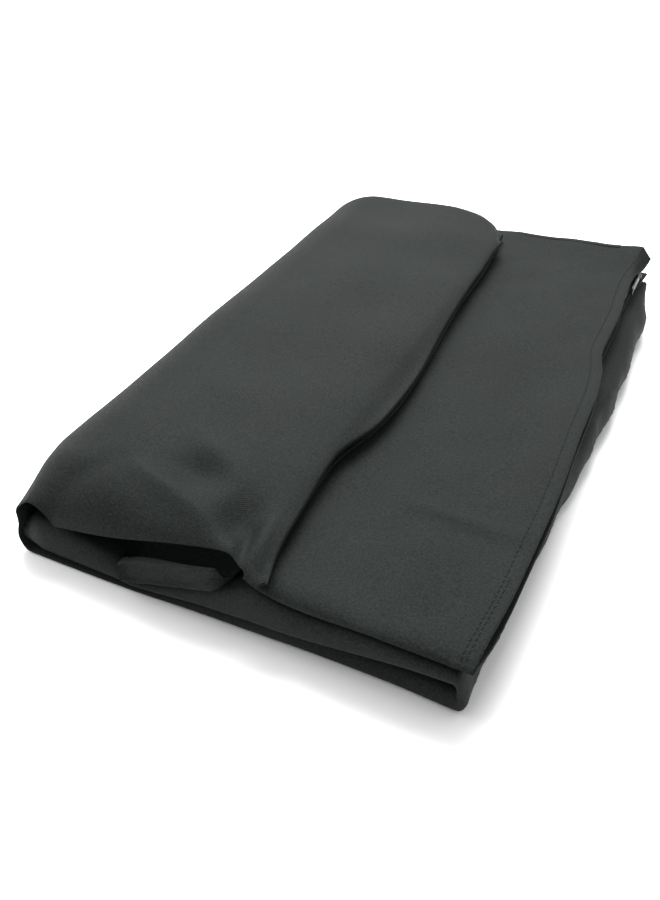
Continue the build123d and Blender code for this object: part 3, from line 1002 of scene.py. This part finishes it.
def coil_row(path, across, up, phase):
    """One row of a zip's coil: its loops side by side along a path."""
    gaps = np.linalg.norm(np.diff(path, axis=0), axis=-1)
    at = np.concatenate([[0], np.cumsum(gaps)])
    shapes = []
    for place in np.arange(COIL_PITCH * (0.5 + phase), at[-1] - 0.4, COIL_PITCH):
        middle = np.array([np.interp(place, at, path[:, k]) for k in range(3)])
        shapes.append(bead(middle, np.array(across) * 1.0, (0, 0.42, 0), np.array(up) * 0.62, 6, 4))
    return shapes


def ribbon(path, profile):
    """The grid of a strip: a profile of (x, z) offsets swept along a path of points."""
    profile = np.array(profile, float)
    return path[:, None, :] + np.stack([profile[:, 0], 0 * profile[:, 0], profile[:, 1]], -1)[None]


def zip_places(name):
    """X and Z of a zip's upper run, and X of its lower run."""
    if name == "outer_zip":
        upper_x = span("outer_zip_stops", 0)[1] - 0.8
        return upper_x, sum(span("outer_zip_slider_body", 2)) / 2, upper_x - 6.2
    upper_x = sum(span("inner_zip_slider_body", 0)) / 2
    return upper_x, span("inner_zip_front_coil", 2)[1] - 0.8, upper_x


def lower_run(x, y):
    """Points along a zip's lower run, which lies on the cloth of the top ply's underside."""
    return points_at(x, y, top_ply_low(x + 0 * y, y) + TWILL + 1.1)


def zip_coil(name, row, side, upper, lower):
    """One row of a zip's coil, along both its runs. The outer zip's upper run stands on edge."""
    flat = (1, 0, 0), (0, 0, 1)
    across, up = flat[::-1] if name == "outer_zip" else flat
    phase = 0.5 * (side > 0)
    shapes = coil_row(upper + np.array(across) * side * COIL_SHIFT, across, up, phase)
    shapes += coil_row(lower + np.array(flat[0]) * side * COIL_SHIFT, *flat, phase)
    coil = joined(f"{name}_{row}_coil_loops", shapes, COIL)
    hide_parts(f"{name}_{row}_coil")
    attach(coil, "top_ply")


def tape_profiles(name, side):
    """The (x, z) profiles of a tape's upper and lower run."""
    if name == "outer_zip":
        bend = 2.6
        upper = [(-1.0, side * 0.7), (-1.0, side * bend), (-1.6, side * (bend + 0.55)),
                 (-3.0, side * (bend + 0.7)), (-8.6, side * (bend + 0.7))]
    else:
        upper = [(side * 0.7, -1.0), (side * 3.0, -1.0), (side * 6.0, -1.0), (side * 9.8, -1.0)]
    return upper, [(side * 0.7, 0.85), (side * 3.0, 0.9), (side * 6.0, 0.95), (side * 8.0, 0.95)]


def zip_tapes(name, row, side, places):
    """Both runs of one tape."""
    upper_x, upper_z, lower_x = places
    y = np.arange(*span(f"{name}_front_tape", 1), ZIP_STEP)
    upper_profile, lower_profile = tape_profiles(name, side)
    runs = (
        ("upper", points_at(upper_x, y, upper_z), upper_profile),
        ("lower", lower_run(lower_x, y), lower_profile),
    )
    for run, path, profile in runs:
        piece = cloth_mesh(f"{name}_{row}_tape_{run}", ribbon(path, profile), 0.4, TAPE)
        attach(piece, "top_ply")
    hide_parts(f"{name}_{row}_tape")


def zip_stops(name, places):
    """The end stops of both runs, in one piece."""
    upper_x, upper_z, lower_x = places
    y = np.mean(span(f"{name}_stops", 1))
    lower_z = lower_run(lower_x, np.array([y]))[0, 2]
    flat = (1.7, 0, 0), (0, 0, 0.9)
    upright = (0.9, 0, 0), (0, 0, 1.7)
    stops = joined(f"{name}_end_stops", [
        bead((upper_x, y, upper_z), (0, 1.0, 0), *(upright if name == "outer_zip" else flat), 10, 6),
        bead((lower_x, y, lower_z), (0, 1.0, 0), *flat, 10, 6),
    ], ENAMEL)
    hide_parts(f"{name}_stops")
    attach(stops, "top_ply")


def zips():
    """Both zips: tapes, rows of coil and end stops, each with an upper and a lower run."""
    for name in ("outer_zip", "inner_zip"):
        places = zip_places(name)
        upper_x, upper_z, lower_x = places
        y_low, y_high = span(f"{name}_front_coil", 1)
        y = np.arange(y_low, y_high + 0.1, ZIP_STEP)
        for side, row in ((1, "front"), (-1, "back")):
            zip_coil(name, row, side, points_at(upper_x, y, upper_z), lower_run(lower_x, y))
            zip_tapes(name, row, side, places)
        zip_stops(name, places)
        for piece in ("slider_body", "pull_tab"):
            mesh = frame["nodes"][f"{name}_{piece}"].data
            mesh.materials.clear()
            mesh.materials.append(ENAMEL)


NESTED_LENGTH = 16.0          # cloth in the turn from the middle ply up to the top ply
NESTED_THICK = 0.9            # from its outer to its inner face


def nested_fold():
    """The cloth that turns up from the middle ply into the top ply, inside the left edge."""
    apex = span("left_fold_nested", 0)[0]
    low, high = span("left_fold_nested", 2)
    right = NESTED_LEFT + 1.0
    reach = right - apex

    def faces(s, y):
        angle = s / NESTED_LENGTH * math.pi
        middle_z = (low + high) / 2
        up = (high - low) / 2
        lean = left_lean(y) * 0.9
        x = right - reach * np.sin(angle) + lean * np.sin(angle)
        z = middle_z - up * np.cos(angle)
        return points_at(x, y, z), points_at(
            x + NESTED_THICK * np.sin(angle), y, z + NESTED_THICK * np.cos(angle)
        )

    run = stations(0, NESTED_LENGTH, 0.8)
    grid = wrapped(run, faces, level(Y_NEAR + 24), level(Y_FAR - 9), 1.0, pitch=5.0)
    piece = cloth_mesh("left_fold_nested_cloth", grid, 0.4, COATED, inward=1)
    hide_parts("left_fold_nested")
    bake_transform(piece)


# --- camera, light and floor --------------------------------------------------------------------

CAMERA_PLACE = np.array([148.15, -385.38, 291.68])
CAMERA_TARGET = np.array([-13.41, -45.30, 0.0])
CAMERA_ROLL = 0.93            # degrees
CAMERA_LENS = 37.76
CAMERA_SENSOR = 36.0
FLOOR_REACH = 3000.0
DOME_BRIGHT_SIDE = (-0.7, 0.71, 0)
DOME_DARK = 0.55              # strength of the sky on its darker side
DOME_BRIGHT = 1.45            # and on its brighter side
LAMPS = (                     # name, place, size and watts
    ("key", (-380, 800, 1600), 1100, 58),
    ("fill", (-900, -300, 1000), 700, 5),
)


def place_camera(scene):
    data = bpy.data.cameras.new("camera")
    data.lens = CAMERA_LENS
    data.sensor_width = CAMERA_SENSOR
    camera = bpy.data.objects.new("camera", data)
    scene.collection.objects.link(camera)
    scene.camera = camera
    turn = Vector(CAMERA_PLACE - CAMERA_TARGET).to_track_quat("Z", "Y").to_matrix().to_4x4()
    roll = Matrix.Rotation(math.radians(CAMERA_ROLL), 4, "Z")
    camera.matrix_world = Matrix.Translation(Vector(CAMERA_PLACE * MM)) @ turn @ roll


def pale_floor():
    corners = [(x * FLOOR_REACH, y * FLOOR_REACH, 0) for x, y in ((-1, -1), (1, -1), (1, 1), (-1, 1))]
    floor = mesh_object("floor", corners, [(0, 1, 2, 3)])
    material, nodes, _ = new_material("pale_floor")
    nodes["Principled BSDF"].inputs["Base Color"].default_value = (0.95, 0.95, 0.95, 1)
    nodes["Principled BSDF"].inputs["Roughness"].default_value = 0.9
    floor.data.materials.append(material)


def studio_sky(scene):
    """A white sky, brighter on one side."""
    world = bpy.data.worlds.new("studio")
    world.use_nodes = True
    nodes, links = world.node_tree.nodes, world.node_tree.links
    nodes["Background"].inputs["Color"].default_value = (1, 1, 1, 1)
    direction = nodes.new("ShaderNodeTexCoord")
    facing = nodes.new("ShaderNodeVectorMath")
    facing.operation = "DOT_PRODUCT"
    facing.inputs[1].default_value = DOME_BRIGHT_SIDE
    links.new(direction.outputs["Generated"], facing.inputs[0])
    glow = nodes.new("ShaderNodeMapRange")
    glow.inputs["From Min"].default_value = -0.7
    glow.inputs["From Max"].default_value = 0.5
    glow.inputs["To Min"].default_value = DOME_DARK
    glow.inputs["To Max"].default_value = DOME_BRIGHT
    links.new(facing.outputs["Value"], glow.inputs["Value"])
    links.new(glow.outputs["Result"], nodes["Background"].inputs["Strength"])
    scene.world = world


def studio_lamps(scene):
    for name, location, size, power in LAMPS:
        light = bpy.data.lights.new(name, "AREA")
        light.size = size * MM
        light.energy = power
        lamp = bpy.data.objects.new(name, light)
        lamp.location = [v * MM for v in location]
        lamp.rotation_euler = (-Vector(location)).to_track_quat("-Z", "Y").to_euler()
        scene.collection.objects.link(lamp)


def stage_and_camera():
    """A pale floor, soft studio light and the camera."""
    scene = bpy.context.scene
    scene.view_settings.view_transform = "Standard"
    place_camera(scene)
    pale_floor()
    studio_sky(scene)
    studio_lamps(scene)


base_cloth()
top_cloth()
sleeves()
sleeve_insides()
side_seams()
hem_stitches()
zips()
nested_fold()
stage_and_camera()
